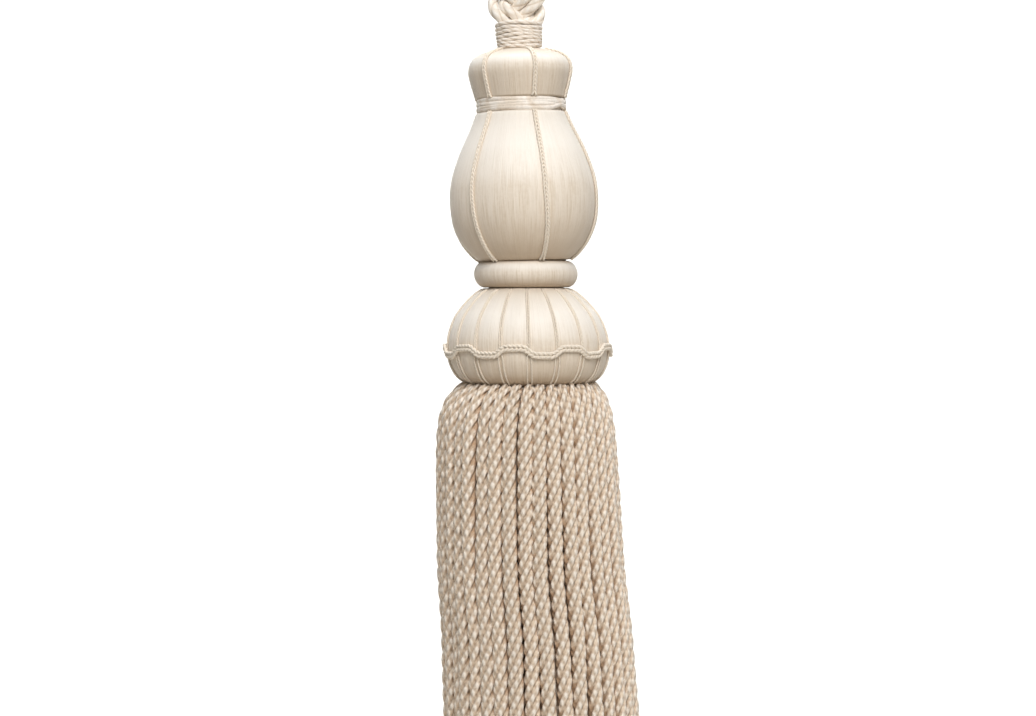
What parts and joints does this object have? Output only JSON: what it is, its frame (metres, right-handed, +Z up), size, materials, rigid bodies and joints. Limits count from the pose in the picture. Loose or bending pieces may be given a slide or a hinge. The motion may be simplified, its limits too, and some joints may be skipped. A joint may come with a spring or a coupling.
{
  "type": "curtain tassel",
  "caption": "Large bullion tassel with a thread-covered vase and dome head, hung from a loop on a plaited cord.",
  "frame": {"origin": "where a hook bears, inside the top of the hanging loop", "axes": "+Z up, against the pull of the tassel's weight; -Y is the front seen in the picture; +X is to the right there"},
  "size_m": [0.0784, 0.0775, 0.396],
  "materials": {
    "cord": "soft matt twisted cord",
    "thread": "fine laid thread with a low sheen",
    "band": "flat bundles of thread with a low sheen",
    "gimp": "fine twisted double cord",
    "bullion": "twisted bullion cord, matt"
  },
  "bodies": {
    "root": {"loop_cord_1": "cord", "loop_cord_2": "cord", "loop_cord_3": "cord", "loop_whipping": "cord", "plait": "cord", "neck_whipping": "cord", "vase_mould": "thread", "tie_band": "band", "collar_cord_1": "gimp", "collar_cord_2": "gimp", "collar_cord_3": "gimp", "collar_cord_4": "gimp", "collar_cord_5": "gimp", "collar_cord_6": "gimp", "bulb_cord_1": "gimp", "bulb_cord_2": "gimp", "bulb_cord_3": "gimp", "bulb_cord_4": "gimp", "bulb_cord_5": "gimp", "bulb_cord_6": "gimp", "wound_ring": "thread", "dome_mould": "thread", "wave_cord": "gimp", "skirt": "bullion"}
  },
  "joints": []
}
